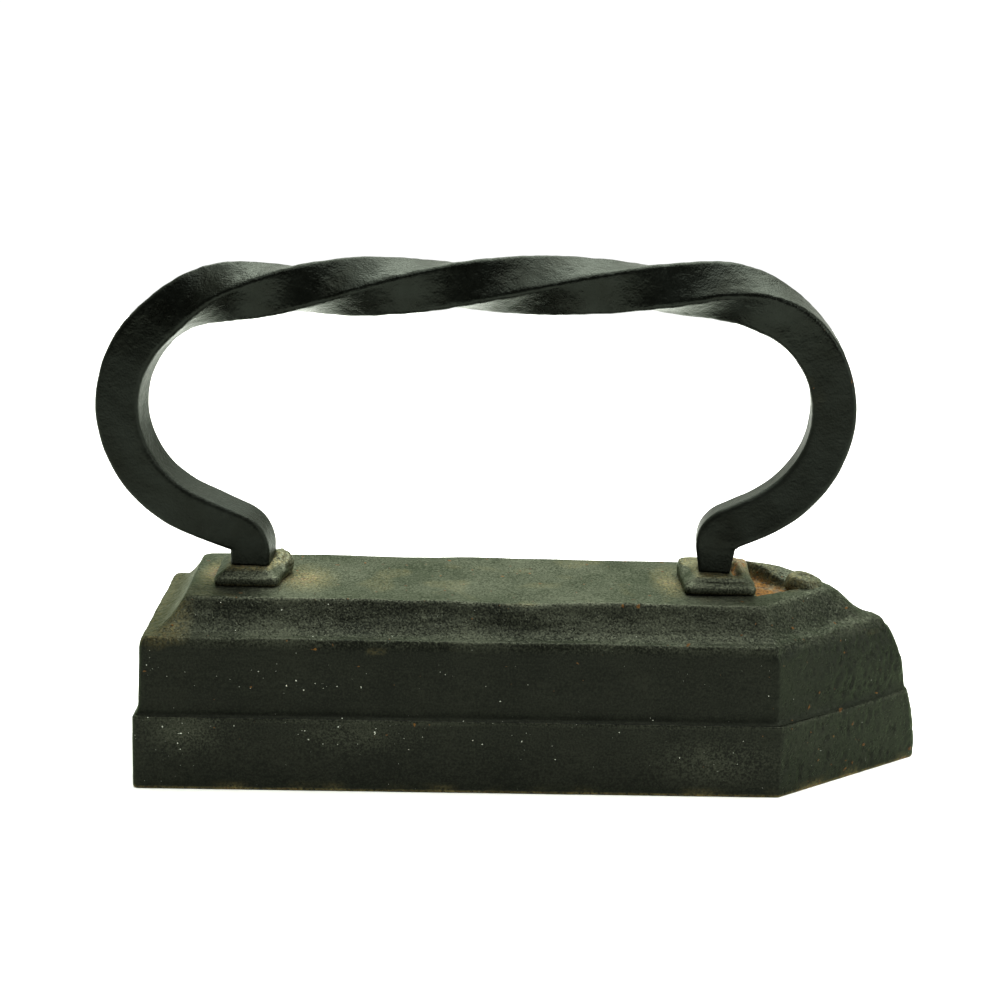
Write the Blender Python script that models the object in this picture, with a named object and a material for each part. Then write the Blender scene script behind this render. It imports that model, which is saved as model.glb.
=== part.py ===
"""A sad iron with a twisted-bar handle, built as the separate pieces that make it up.

Frame: the origin is in the middle of the sole face, +X points to the nose and +Z is up.
The handle is fixed: its round tenons pass through two collars and the upper body and are
riveted over washers. A stud and two dowels hold the sole plate under the upper body.
"""

import math

import bmesh
import bpy
from mathutils import Matrix, Vector

MM = 0.001
GAP = 0.3 * MM  # between pieces that touch

# Plan outlines of the body, from the square heel to the pointed nose. Each is
# (height, heel x, half width, x where the sides turn in, x where the nose's sides meet).
# Rounding takes about 2 mm off the nose, so the sole plate is 200 mm long.
SOLE_BOTTOM = (0.0 * MM, -100.0 * MM, 28.9 * MM, 59.0 * MM, 101.8 * MM)
SOLE_TOP = (18.7 * MM, -99.6 * MM, 28.5 * MM, 58.6 * MM, 99.2 * MM)
BODY_BOTTOM = (19.0 * MM, -98.3 * MM, 27.1 * MM, 58.0 * MM, 97.9 * MM)
SHOULDER = (36.4 * MM, -97.6 * MM, 26.4 * MM, 57.4 * MM, 91.6 * MM)
PLATEAU = (46.2 * MM, -87.7 * MM, 17.6 * MM, 54.5 * MM, 76.0 * MM)
SIDE_CORNER_RADIUS = 1.6 * MM
SOLE_NOSE_RADIUS = 2.5 * MM
PLATEAU_NOSE_RADIUS = 4.5 * MM
CORNER_STEPS = 4
SOLE_EDGE_ROUND = 1.0 * MM

# The cove that rises from the shoulder to the plateau: a small rounded lip, then a curve.
LIP_INSET = 0.10  # share of the whole inset
LIP_RISE = 0.21  # share of the whole rise
COVE_POWER = 1.9
COVE_STEPS = 9

# Shallow three-cornered hollow in the plateau, between the front collar and the nose.
HOLLOW_CORNERS = ((55.0 * MM, -8.5 * MM), (64.0 * MM, -4.5 * MM), (55.0 * MM, 11.0 * MM))
HOLLOW_CORNER_RADIUS = 1.0 * MM
HOLLOW_DEPTH = 1.4 * MM

# Handle: one square bar, bent to two curls that the straight grip joins.
BAR_SIDE = 10.9 * MM
BAR_EDGE = 1.0 * MM
BAR_STEP = 2.6 * MM
REAR_FOOT_SHARE = 0.9  # section at a foot, as a share of the bar
FRONT_FOOT_SHARE = 0.8
FOOT_TAPER = 22.0 * MM
REAR_FOOT_X = -73.1 * MM
FRONT_FOOT_X = 44.0 * MM
REAR_CURL = (-74.5 * MM, 90.0 * MM, 31.0 * MM, 29.1 * MM)  # centre x and z, radius along x and z
FRONT_CURL = (37.7 * MM, 91.5 * MM, 33.9 * MM, 30.4 * MM)
REAR_CURL_END = math.radians(246)
FRONT_CURL_END = math.radians(-63.5)
GRIP_ARCH = 1.2 * MM  # rise of the grip's middle
FOOT_BEND_RADIUS = 5.6 * MM
SKEW_START = math.radians(6.5)
TWIST = math.radians(346)
TWIST_START = 84.6 * MM  # lengths along the bar from the rear foot
TWIST_END = 238.1 * MM
TWIST_EASE = 6.0 * MM
TWIST_TIGHTER_AT_REAR = 0.27
TWIST_SLACKER_IN_MIDDLE = 0.28

# Collars between the feet and the plateau: centre x and length along the iron.
COLLARS = {"rear_collar": (-74.3 * MM, 16.2 * MM), "front_collar": (44.7 * MM, 18.1 * MM)}
COLLAR_WIDTH = 20.0 * MM
COLLAR_HEIGHT = 3.8 * MM
COLLAR_ROUND = 1.8 * MM

# Tenons, washers, stud and dowels.
TENON_RADIUS = 3.5 * MM
TENON_END_Z = 21.6 * MM
RIVETED_END_RADIUS = 5.2 * MM
RIVETED_END_TOP_Z = 23.4 * MM
WASHER_RADIUS = 6.5 * MM
WASHER_THICKNESS = 2.0 * MM
COUNTERBORE_RADIUS = 7.2 * MM
CLEARANCE = 0.3 * MM
STUD_X = 68.0 * MM
STUD_Y = 1.0 * MM
STUD_RADIUS = 2.5 * MM
STUD_FOOT_Z = 6.0 * MM
STUD_HEAD_RADIUS = 4.5 * MM
STUD_HEAD_HEIGHT = 2.5 * MM
STUD_DIMPLE_RADIUS = 2.1 * MM
STUD_DIMPLE_DEPTH = 0.7 * MM
DOWEL_X = -84.0 * MM
DOWEL_Y = {"near_heel_dowel": -15.0 * MM, "far_heel_dowel": 15.0 * MM}
DOWEL_RADIUS = 3.0 * MM
DOWEL_BOTTOM_Z = 11.0 * MM
DOWEL_LENGTH = 16.0 * MM

ROUND_SEGMENTS = 32
SMOOTH_ANGLE = math.radians(32)
PAST = 2.0 * MM  # how far a cutter runs past the face that it opens


def clear_scene():
    for old in list(bpy.data.objects):
        bpy.data.objects.remove(old, do_unlink=True)


def material(name, colour, roughness, metallic):
    made = bpy.data.materials.new(name)
    made.use_nodes = True
    shader = made.node_tree.nodes["Principled BSDF"]
    shader.inputs["Base Color"].default_value = (*colour, 1.0)
    shader.inputs["Roughness"].default_value = roughness
    shader.inputs["Metallic"].default_value = metallic
    return made


def place(name, bm, where=(0, 0, 0), surface=None):
    """Turn a bmesh into a named object; a piece gets a material and the iron as its parent."""
    bmesh.ops.recalc_face_normals(bm, faces=bm.faces)
    mesh = bpy.data.meshes.new(name)
    bm.to_mesh(mesh)
    bm.free()
    mesh.shade_smooth()
    mesh.set_sharp_from_angle(angle=SMOOTH_ANGLE)
    made = bpy.data.objects.new(name, mesh)
    made.location = where
    bpy.context.scene.collection.objects.link(made)
    if surface:
        mesh.materials.append(surface)
        made.parent = bpy.data.objects["sad_iron"]
    return made


def loft(rings):
    """A closed bmesh through rings of equal length, each running anticlockwise from above."""
    bm = bmesh.new()
    made = [[bm.verts.new(point) for point in ring] for ring in rings]
    for low, high in zip(made, made[1:]):
        count = len(low)
        for i in range(count):
            j = (i + 1) % count
            bm.faces.new((low[i], low[j], high[j], high[i]))
    bm.faces.new(list(reversed(made[0])))
    bm.faces.new(made[-1])
    return bm


def turned(profile, segments=ROUND_SEGMENTS):
    """A closed round bmesh about Z from (radius, height) points, bottom to top."""
    rings = []
    for radius, height in profile:
        turn = [2 * math.pi * i / segments for i in range(segments)]
        rings.append([Vector((radius * math.cos(a), radius * math.sin(a), height)) for a in turn])
    return loft(rings)


def guide(name, bm, where=(0, 0, 0)):
    """A cutter, or a shape that a Boolean joins on: it is never a piece itself."""
    made = place(name, bm, where)
    made.hide_render = True
    made.display_type = "WIRE"
    return made


def boolean(piece, other, operation):
    change = piece.modifiers.new(other.name, "BOOLEAN")
    change.operation = operation
    change.solver = "EXACT"
    change.object = other


def bore(piece, name, x, y, radius, low, high):
    """Cut a round hole along Z from one height to another."""
    depth = high - low
    cutter = guide(name, turned([(radius, 0), (radius, depth)]), (x, y, low))
    boolean(piece, cutter, "DIFFERENCE")


# ---- body ------------------------------------------------------------------------------


def rounded(corners):
    """Round each (x, y, radius) corner of an outline with an arc of the same point count."""
    points = []
    count = len(corners)
    for i, (x, y, radius) in enumerate(corners):
        corner = Vector((x, y))
        back = (Vector(corners[i - 1][:2]) - corner).normalized()
        ahead = (Vector(corners[(i + 1) % count][:2]) - corner).normalized()
        half = back.angle(ahead) / 2
        centre = corner + (back + ahead).normalized() * radius / math.sin(half)
        start = corner + back * radius / math.tan(half) - centre
        turn = math.pi - 2 * half
        for step in range(CORNER_STEPS + 1):
            arm = start.copy()
            arm.rotate(Matrix.Rotation(turn * step / CORNER_STEPS, 2))
            points.append(centre + arm)
    return points


def outline(level, nose_radius):
    """The five-cornered plan at one level: (z, heel x, half width, side end x, nose x)."""
    _, heel, half_width, side_end, nose = level
    corners = [
        (heel, -half_width, SIDE_CORNER_RADIUS),
        (side_end, -half_width, SIDE_CORNER_RADIUS),
        (nose, 0.0, nose_radius),
        (side_end, half_width, SIDE_CORNER_RADIUS),
        (heel, half_width, SIDE_CORNER_RADIUS),
    ]
    return rounded(corners)


def at_height(points, z):
    return [Vector((point.x, point.y, z)) for point in points]


def shrunk(level, inset):
    """The same level with every side moved in by the inset."""
    z, heel, half_width, side_end, nose = level
    slope = math.atan2(half_width, nose - side_end)
    nose_in = inset / math.sin(slope)
    side_in = inset * math.tan(slope / 2)
    return (z, heel + inset, half_width - inset, side_end - side_in, nose - nose_in)


def make_sole_plate(surface):
    low = at_height(outline(shrunk(SOLE_BOTTOM, SOLE_EDGE_ROUND), SOLE_NOSE_RADIUS), 0.0)
    edge = at_height(outline(SOLE_BOTTOM, SOLE_NOSE_RADIUS), SOLE_EDGE_ROUND)
    high = at_height(outline(SOLE_TOP, SOLE_NOSE_RADIUS), SOLE_TOP[0])
    plate = place("sole_plate", loft([low, edge, high]), surface=surface)
    top = SOLE_TOP[0] + PAST
    bore(plate, "stud_socket", STUD_X, STUD_Y, STUD_RADIUS + CLEARANCE, STUD_FOOT_Z - GAP, top)
    for name, y in DOWEL_Y.items():
        socket = name.replace("dowel", "lower_socket")
        bore(plate, socket, DOWEL_X, y, DOWEL_RADIUS + CLEARANCE, DOWEL_BOTTOM_Z - GAP, top)


def cove_height(share):
    """Rise from the shoulder to the plateau, as shares of the whole, for a share of the inset."""
    if share <= LIP_INSET:
        return LIP_RISE * math.sin(math.pi / 2 * share / LIP_INSET)
    along = (share - LIP_INSET) / (1 - LIP_INSET)
    return LIP_RISE + (1 - LIP_RISE) * along**COVE_POWER


def body_rings():
    bottom = outline(BODY_BOTTOM, SOLE_NOSE_RADIUS)
    shoulder = outline(SHOULDER, SOLE_NOSE_RADIUS)
    plateau = outline(PLATEAU, PLATEAU_NOSE_RADIUS)
    rings = [at_height(bottom, BODY_BOTTOM[0]), at_height(shoulder, SHOULDER[0])]
    rise = PLATEAU[0] - SHOULDER[0]
    shares = [LIP_INSET / 2]
    shares += [LIP_INSET + (1 - LIP_INSET) * i / COVE_STEPS for i in range(COVE_STEPS + 1)]
    for share in shares:
        ring = [low.lerp(high, share) for low, high in zip(shoulder, plateau)]
        rings.append(at_height(ring, SHOULDER[0] + rise * cove_height(share)))
    return rings


def cut_hollow(body):
    points = rounded([(x, y, HOLLOW_CORNER_RADIUS) for x, y in HOLLOW_CORNERS])
    floor = at_height(points, PLATEAU[0] - HOLLOW_DEPTH)
    mouth = at_height(points, PLATEAU[0] + PAST)
    boolean(body, guide("hollow", loft([floor, mouth])), "DIFFERENCE")


def make_upper_body(surface):
    body = place("upper_body", loft(body_rings()), surface=surface)
    cut_hollow(body)
    bottom = BODY_BOTTOM[0] - PAST
    top = PLATEAU[0] + PAST
    washer_seat = RIVETED_END_TOP_Z + GAP + WASHER_THICKNESS + GAP
    for end, x in (("rear", REAR_FOOT_X), ("front", FRONT_FOOT_X)):
        bore(body, f"{end}_mortise", x, 0, TENON_RADIUS + CLEARANCE, bottom, top)
        bore(body, f"{end}_counterbore", x, 0, COUNTERBORE_RADIUS, bottom, washer_seat)
    bore(body, "stud_hole", STUD_X, STUD_Y, STUD_RADIUS + CLEARANCE, bottom, top)
    dowel_top = DOWEL_BOTTOM_Z + DOWEL_LENGTH + GAP
    for name, y in DOWEL_Y.items():
        socket = name.replace("dowel", "upper_socket")
        bore(body, socket, DOWEL_X, y, DOWEL_RADIUS + CLEARANCE, bottom, dowel_top)


# ---- handle ----------------------------------------------------------------------------


def foot_bottom_z():
    return PLATEAU[0] + GAP + COLLAR_HEIGHT + GAP


def arc_points(centre_x, centre_z, radius_x, radius_z, start, end):
    steps = max(2, math.ceil(abs(end - start) * radius_x / BAR_STEP))
    centre = Vector((centre_x, centre_z))
    turn = [start + (end - start) * i / steps for i in range(steps + 1)]
    return [centre + Vector((radius_x * math.cos(a), radius_z * math.sin(a))) for a in turn]


def arc_heading(curl, angle):
    """Direction along a curl as the angle grows."""
    return Vector((-curl[2] * math.sin(angle), curl[3] * math.cos(angle))).normalized()


def line_points(start, end):
    steps = max(1, math.ceil((end - start).length / BAR_STEP))
    return [start.lerp(end, i / steps) for i in range(steps + 1)]


def foot_points(curl_end, heading, foot_x):
    """From the foot's bottom up, round the bend and on to the end of the curl."""
    reach = (foot_x - curl_end.x) / heading.x
    corner = curl_end + heading * reach
    turn = heading.angle(Vector((0.0, -1.0)))
    along = FOOT_BEND_RADIUS * math.tan(turn / 2)
    below = corner - Vector((0.0, along))
    side = -1.0 if heading.x > 0 else 1.0
    centre = below + Vector((side * FOOT_BEND_RADIUS, 0.0))
    first = math.pi if side > 0 else 0.0
    arc = arc_points(*centre, FOOT_BEND_RADIUS, FOOT_BEND_RADIUS, first, first - side * turn)
    bottom = Vector((foot_x, foot_bottom_z()))
    return line_points(bottom, below)[:-1] + arc + line_points(arc[-1], curl_end)[1:-1]


def handle_route():
    """Centre line in the XZ plane from the rear foot to the front foot, as (x, z) points."""
    rear_top = Vector((REAR_CURL[0], REAR_CURL[1] + REAR_CURL[3]))
    front_top = Vector((FRONT_CURL[0], FRONT_CURL[1] + FRONT_CURL[3]))
    rise = math.atan2(front_top.y - rear_top.y, front_top.x - rear_top.x)
    crown = math.pi / 2 + rise
    rear_arc = arc_points(*REAR_CURL, REAR_CURL_END, crown)
    front_arc = arc_points(*FRONT_CURL, crown, FRONT_CURL_END)
    rear_heading = arc_heading(REAR_CURL, REAR_CURL_END)
    front_heading = -arc_heading(FRONT_CURL, FRONT_CURL_END)
    rear = foot_points(rear_arc[0], rear_heading, REAR_FOOT_X) + rear_arc
    front = front_arc + foot_points(front_arc[-1], front_heading, FRONT_FOOT_X)[::-1]
    grip = line_points(rear[-1], front[0])
    for i, point in enumerate(grip):
        share = i / (len(grip) - 1)
        point.y += GRIP_ARCH * 4 * share * (1 - share)
    return rear + grip[1:-1] + front


def lengths_along(route):
    run = [0.0]
    for here, there in zip(route, route[1:]):
        run.append(run[-1] + (there - here).length)
    return run


def twist_at(length):
    """Turn of the bar about its own line; it is tighter towards the rear."""
    share = min(1.0, max(0.0, (length - TWIST_START) / (TWIST_END - TWIST_START)))
    rest = share * (1 - share)
    uneven = TWIST_TIGHTER_AT_REAR + TWIST_SLACKER_IN_MIDDLE * (1 - 2 * share)
    return SKEW_START + TWIST * (share + uneven * rest)


def eased_twist_at(length):
    """The twist starts and ends over a short length, not at a point."""
    steps = [TWIST_EASE * k / 2 for k in range(-2, 3)]
    return sum(twist_at(length + step) for step in steps) / len(steps)


def bar_section(size):
    """Square with its edges taken off, as (across, up) points."""
    half = size / 2
    flat = half - BAR_EDGE
    points = [(half, -flat), (half, flat), (flat, half), (-flat, half)]
    points += [(-half, flat), (-half, -flat), (-flat, -half), (flat, -half)]
    return points


def handle_rings():
    route = handle_route()
    run = lengths_along(route)
    rings = []
    for i, here in enumerate(route):
        before = route[max(i - 1, 0)]
        after = route[min(i + 1, len(route) - 1)]
        flat_heading = (after - before).normalized()
        if i in (0, len(route) - 1):
            flat_heading = Vector((0.0, 1.0 if i == 0 else -1.0))
        heading = Vector((flat_heading.x, 0.0, flat_heading.y))
        turn = Matrix.Rotation(-eased_twist_at(run[i]), 3, heading)
        across = turn @ Vector((0.0, 1.0, 0.0))
        up = heading.cross(across)
        from_foot = min(run[i], run[-1] - run[i])
        foot_share = REAR_FOOT_SHARE if run[i] < run[-1] / 2 else FRONT_FOOT_SHARE
        share = foot_share + (1 - foot_share) * min(1.0, from_foot / FOOT_TAPER)
        centre = Vector((here.x, 0.0, here.y))
        section = bar_section(BAR_SIDE * share)
        rings.append([centre + across * a + up * b for a, b in section])
    return rings


def make_handle(surface):
    bar = place("handle_bar", loft(handle_rings()), surface=surface)
    reach = foot_bottom_z() + PAST
    profile = [
        (RIVETED_END_RADIUS - 1.2 * MM, TENON_END_Z),
        (RIVETED_END_RADIUS, TENON_END_Z + 0.8 * MM),
        (RIVETED_END_RADIUS, RIVETED_END_TOP_Z),
        (TENON_RADIUS, RIVETED_END_TOP_Z),
        (TENON_RADIUS, reach),
    ]
    for end, x in (("rear", REAR_FOOT_X), ("front", FRONT_FOOT_X)):
        boolean(bar, guide(f"{end}_tenon", turned(profile), (x, 0, 0)), "UNION")


# ---- fittings --------------------------------------------------------------------------


def make_collar(name, surface):
    x, length = COLLARS[name]
    bm = bmesh.new()
    bmesh.ops.create_cube(bm, size=1.0)
    bmesh.ops.scale(bm, vec=(length, COLLAR_WIDTH, COLLAR_HEIGHT), verts=bm.verts)
    bmesh.ops.translate(bm, vec=(0, 0, COLLAR_HEIGHT / 2), verts=bm.verts)
    # Every edge but the four at the bottom is rounded.
    edges = [edge for edge in bm.edges if any(v.co.z > COLLAR_HEIGHT / 2 for v in edge.verts)]
    bmesh.ops.bevel(bm, geom=edges, offset=COLLAR_ROUND, segments=3, profile=0.5, affect="EDGES")
    collar = place(name, bm, (x, 0, PLATEAU[0] + GAP), surface)
    hole_x = REAR_FOOT_X if name.startswith("rear") else FRONT_FOOT_X
    low = PLATEAU[0] - PAST
    high = foot_bottom_z() + PAST
    bore(collar, name + "_hole", hole_x, 0, TENON_RADIUS + CLEARANCE, low, high)


def make_washer(name, x, surface):
    washer = turned([(WASHER_RADIUS, 0), (WASHER_RADIUS, WASHER_THICKNESS)])
    low = RIVETED_END_TOP_Z + GAP
    made = place(name, washer, (x, 0, low), surface)
    high = low + WASHER_THICKNESS + PAST
    bore(made, name + "_hole", x, 0, TENON_RADIUS + CLEARANCE, low - PAST, high)


def make_nose_stud(surface):
    """A stud set in the sole plate, riveted over on the nose with a punched dimple."""
    seat = PLATEAU[0] + GAP - STUD_FOOT_Z
    top = seat + STUD_HEAD_HEIGHT
    rim = STUD_HEAD_RADIUS - 1.1 * MM
    profile = [
        (STUD_RADIUS, 0.0),
        (STUD_RADIUS, seat),
        (STUD_HEAD_RADIUS, seat),
        (STUD_HEAD_RADIUS, seat + STUD_HEAD_HEIGHT * 0.45),
        (STUD_HEAD_RADIUS - 0.4 * MM, seat + STUD_HEAD_HEIGHT * 0.8),
        (rim, top),
        (STUD_DIMPLE_RADIUS, top),
        (STUD_DIMPLE_RADIUS * 0.6, top - STUD_DIMPLE_DEPTH),
    ]
    place("nose_stud", turned(profile), (STUD_X, STUD_Y, STUD_FOOT_Z), surface)


def make_dowel(name, surface):
    chamfer = 0.5 * MM
    profile = [
        (DOWEL_RADIUS - chamfer, 0),
        (DOWEL_RADIUS, chamfer),
        (DOWEL_RADIUS, DOWEL_LENGTH - chamfer),
        (DOWEL_RADIUS - chamfer, DOWEL_LENGTH),
    ]
    place(name, turned(profile), (DOWEL_X, DOWEL_Y[name], DOWEL_BOTTOM_Z), surface)


def main():
    clear_scene()
    iron = bpy.data.objects.new("sad_iron", None)
    bpy.context.scene.collection.objects.link(iron)
    cast = material("cast_iron_body", (0.030, 0.034, 0.028), 0.62, 0.55)
    sole = material("cast_iron_sole", (0.024, 0.027, 0.022), 0.58, 0.55)
    forged = material("forged_black_iron", (0.014, 0.016, 0.015), 0.36, 0.6)
    collar = material("rusted_collar_iron", (0.045, 0.046, 0.036), 0.6, 0.5)
    fixing = material("plain_fixing_iron", (0.16, 0.15, 0.14), 0.45, 0.9)
    make_sole_plate(sole)
    make_upper_body(cast)
    make_handle(forged)
    for name in COLLARS:
        make_collar(name, collar)
    make_washer("rear_tenon_washer", REAR_FOOT_X, fixing)
    make_washer("front_tenon_washer", FRONT_FOOT_X, fixing)
    make_nose_stud(cast)
    for name in DOWEL_Y:
        make_dowel(name, fixing)


main()
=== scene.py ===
import math
from functools import partial

import bmesh
import bpy
import numpy as np
from mathutils import Matrix, Vector, noise


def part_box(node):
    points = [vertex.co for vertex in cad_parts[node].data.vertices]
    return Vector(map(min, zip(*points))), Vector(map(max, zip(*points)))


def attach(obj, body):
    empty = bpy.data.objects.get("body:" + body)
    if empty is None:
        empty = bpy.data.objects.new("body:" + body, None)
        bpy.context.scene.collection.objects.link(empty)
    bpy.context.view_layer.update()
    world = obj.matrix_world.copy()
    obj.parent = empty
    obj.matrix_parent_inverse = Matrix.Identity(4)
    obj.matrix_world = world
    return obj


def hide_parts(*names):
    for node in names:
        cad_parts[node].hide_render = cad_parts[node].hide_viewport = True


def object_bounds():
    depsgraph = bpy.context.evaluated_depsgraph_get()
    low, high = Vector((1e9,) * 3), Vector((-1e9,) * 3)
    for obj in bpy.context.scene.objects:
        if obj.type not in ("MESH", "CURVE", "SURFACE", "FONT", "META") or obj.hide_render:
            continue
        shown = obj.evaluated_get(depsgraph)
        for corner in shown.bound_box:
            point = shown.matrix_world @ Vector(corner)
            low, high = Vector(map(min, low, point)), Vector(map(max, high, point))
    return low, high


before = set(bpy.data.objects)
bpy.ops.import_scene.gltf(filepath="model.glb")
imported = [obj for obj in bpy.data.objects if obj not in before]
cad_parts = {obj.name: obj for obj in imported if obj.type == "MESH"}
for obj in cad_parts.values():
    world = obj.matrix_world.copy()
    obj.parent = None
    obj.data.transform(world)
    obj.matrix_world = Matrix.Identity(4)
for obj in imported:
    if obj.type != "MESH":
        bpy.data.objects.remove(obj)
cad_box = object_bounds()

bl_info = {
    "name": "Twisted-Handle Sad Iron",
    "version": (1, 0, 0),
    "blender": (4, 5, 0),
    "location": "3D View > Sidebar > Sad Iron",
    "description": "Cast body, sole plate, twisted handle, collars and fixings of a sad iron",
    "category": "Add Mesh",
}

MM = 0.001
BODY = "root"

sole_low, sole_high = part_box("sole_plate")
body_low, body_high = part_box("upper_body")
bar_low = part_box("handle_bar")[0]


# ---- settings --------------------------------------------------------------------------


def linear(hex_colour):
    """An sRGB hex colour as linear red, green and blue."""
    values = [int(hex_colour[i : i + 2], 16) / 255 for i in (1, 3, 5)]
    return tuple(v / 12.92 if v <= 0.04045 else ((v + 0.055) / 1.055) ** 2.4 for v in values)


def length(name, description, default):
    """A distance that a user may change, in metres."""
    return bpy.props.FloatProperty(
        name=name, description=description, default=default, unit="LENGTH", precision=5
    )


def angle(name, description, default):
    """An angle that a user may change, given in degrees."""
    return bpy.props.FloatProperty(
        name=name, description=description, default=math.radians(default), subtype="ANGLE"
    )


def colour(name, description, default):
    """A colour that a user may change."""
    return bpy.props.FloatVectorProperty(
        name=name, description=description, default=linear(default), subtype="COLOR", min=0, max=1
    )


class SadIronBody(bpy.types.PropertyGroup):
    """Sizes of the cast body and its sole plate."""

    side_end: length("Side end", "Where the long sides of the sole turn in to the nose", 59.0 * MM)
    shoulder_height: length("Shoulder height", "Height of the body's shoulder", 36.4 * MM)
    shoulder_inset: length("Shoulder inset", "How far the sides lean in up to the shoulder", 0.7 * MM)
    cove_inset: length("Cove inset", "Width of the hollow curve up to the top face", 8.8 * MM)
    nose_lean: length("Nose lean", "How far the nose leans back up to the shoulder", 6.0 * MM)
    nose_belly: length("Nose belly", "How far the nose swells below the shoulder", 1.3 * MM)
    cove_nose: length("Cove at the nose", "Length of the hollow curve at the nose", 15.6 * MM)
    hollow_depth: length("Hollow depth", "Depth of the three-cornered hollow by the nose", 1.5 * MM)
    heel_swell: length("Heel swell", "How far the rough heel stands out", 0.5 * MM)
    unevenness: length("Unevenness", "Height of the casting's slow waves", 0.16 * MM)


class SadIronHandle(bpy.types.PropertyGroup):
    """Sizes of the forged handle."""

    bar: length("Bar", "Side of the square bar", 10.9 * MM)
    edge: length("Edge", "Radius of the bar's worn edges", 1.25 * MM)
    arch: length("Arch", "How far the grip rises in its middle", 1.2 * MM)
    skew: angle("Skew", "Turn of the bar at both feet", 6.5)
    twist: angle("Twist", "How far the bar is twisted", 346)
    hammering: length("Hammering", "Depth of the hammer marks", 0.08 * MM)


class SadIronFinish(bpy.types.PropertyGroup):
    """Colours of the iron."""

    cast: colour("Cast iron", "Blackened cast iron seen straight on", "#161814")
    forged: colour("Forged iron", "Fire scale on the forged handle", "#1e211d")
    sheen: colour("Sheen", "The casting's reflection seen at a low angle", "#d8e3cf")
    forged_sheen: colour("Forged sheen", "The handle's reflection seen at a low angle", "#e0e4de")
    # The dust colour is also painted on as light on the faces that look up.
    dust: colour("Dust", "Dried dust and old polish in the casting's grain", "#6f7460")
    rust: colour("Rust", "Fresh yellow-brown rust", "#8c6222")
    stain: colour("Rust stain", "Thin tan stain around the rust", "#7b7148")
    old_rust: colour("Old rust", "Dark brown rust", "#33200e")
    paint: colour("Paint flecks", "Flecks of pale paint", "#b4b9aa")
    steel: colour("Plain steel", "The hidden washers and dowels", "#8c8a84")


class SadIronStage(bpy.types.PropertyGroup):
    """Camera, floor and light."""

    lens: bpy.props.FloatProperty(
        name="Lens", description="Focal length", default=62.05, unit="CAMERA"
    )
    elevation: angle("Elevation", "Height angle of the camera", 15.22)
    azimuth: angle("Azimuth", "Turn of the camera about the iron", -1.5)
    roll: angle("Roll", "Tilt of the camera about its own line", 1.5)
    distance: length("Distance", "From the camera to its aim", 435.9 * MM)
    aim_x: length("Aim along", "Aim point along the iron", -11.19 * MM)
    aim_z: length("Aim height", "Aim point above the floor", 67.37 * MM)
    floor: colour("Floor", "White paper sweep", "#f6f7f3")


# ---- shared tools ----------------------------------------------------------------------


def mm(*values):
    """Millimetres as an array of metres."""
    return np.array(values) * MM


def feed(made, inputs):
    """Give a node's inputs, by name or in order, their values or links."""
    for name, value in inputs.items() if isinstance(inputs, dict) else enumerate(inputs):
        socket = made.inputs[name]
        if isinstance(value, bpy.types.NodeSocket):
            made.id_data.links.new(value, socket)
        elif socket.type == "RGBA":
            socket.default_value = (*value[:3], 1.0)
        else:
            socket.default_value = value


def node(tree, kind, inputs=(), output=0, **settings):
    """Add a node with its settings and inputs, and return one of its outputs."""
    made = tree.nodes.new("ShaderNode" + kind)
    for name, value in settings.items():
        setattr(made, name, value)
    feed(made, inputs)
    return made.outputs[output]


def bumps(points, size, seed):
    """Smooth noise of about -1 to 1 at each point; its humps are `size` across."""
    shift = Vector((7.3, 3.1, 5.7)) * seed
    scaled = np.asarray(points) / np.asarray(size)
    return np.array([noise.noise(Vector(p) + shift) for p in scaled])


def ramp(values, start, end):
    """Smooth step from 0 at start to 1 at end."""
    share = np.clip((values - start) / (end - start), 0, 1)
    return share * share * (3 - 2 * share)


def mound(points, centre, reach):
    """A soft round hill of height 1 about a centre."""
    away = (np.asarray(points) - np.asarray(centre)) / np.asarray(reach)
    return np.exp(-(away**2).sum(axis=1))


def skin(rings):
    """A closed mesh over rings of equal length; each end ring lies on a line or a point."""
    rings = np.asarray(rings)
    count, across = rings.shape[0], rings.shape[1]
    first = np.arange(count - 1)[:, None] * across
    here = np.arange(across)[None, :]
    there = (here + 1) % across
    faces = np.stack([first + here, first + there, first + across + there, first + across + here], -1)
    mesh = bpy.data.meshes.new("piece")
    mesh.from_pydata(rings.reshape(-1, 3).tolist(), [], faces.reshape(-1, 4).tolist())
    bm = bmesh.new()
    bm.from_mesh(mesh)
    bmesh.ops.remove_doubles(bm, verts=bm.verts, dist=0.002 * MM)
    bmesh.ops.recalc_face_normals(bm, faces=bm.faces)
    bm.to_mesh(mesh)
    bm.free()
    mesh.shade_smooth()
    return mesh


def read(mesh):
    """A mesh's points and the normals at them."""
    points, normals = np.empty((2, len(mesh.vertices) * 3))
    mesh.vertices.foreach_get("co", points)
    mesh.vertex_normals.foreach_get("vector", normals)
    return points.reshape(-1, 3), normals.reshape(-1, 3)


def move_points(mesh, points):
    """Put a mesh's points in new places."""
    mesh.vertices.foreach_set("co", np.asarray(points, dtype=float).ravel())
    mesh.update()


def paint(mesh, **layers):
    """Keep layers of shares from 0 to 1 at a mesh's points, for its material to read."""
    for layer, values in layers.items():
        made = mesh.attributes.new(layer, "FLOAT", "POINT")
        values = np.clip(values, 0, 1) * np.ones(len(mesh.vertices))
        made.data.foreach_set("value", values.astype(np.float32))


def piece(name, mesh, surface, slot, *nodes):
    """Show a mesh in place of CAD nodes and fix it to the iron."""
    mesh.name = name
    mesh.materials.append(surface)
    made = bpy.data.objects.new(name, mesh)
    bpy.context.scene.collection.objects.link(made)
    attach(made, BODY)
    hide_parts(*nodes)


# ---- plan outlines ---------------------------------------------------------------------

CORNER_POINTS = 8
HEEL_POINTS = 54
SIDE_POINTS = 150
NOSE_SIDE_POINTS = 110


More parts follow.
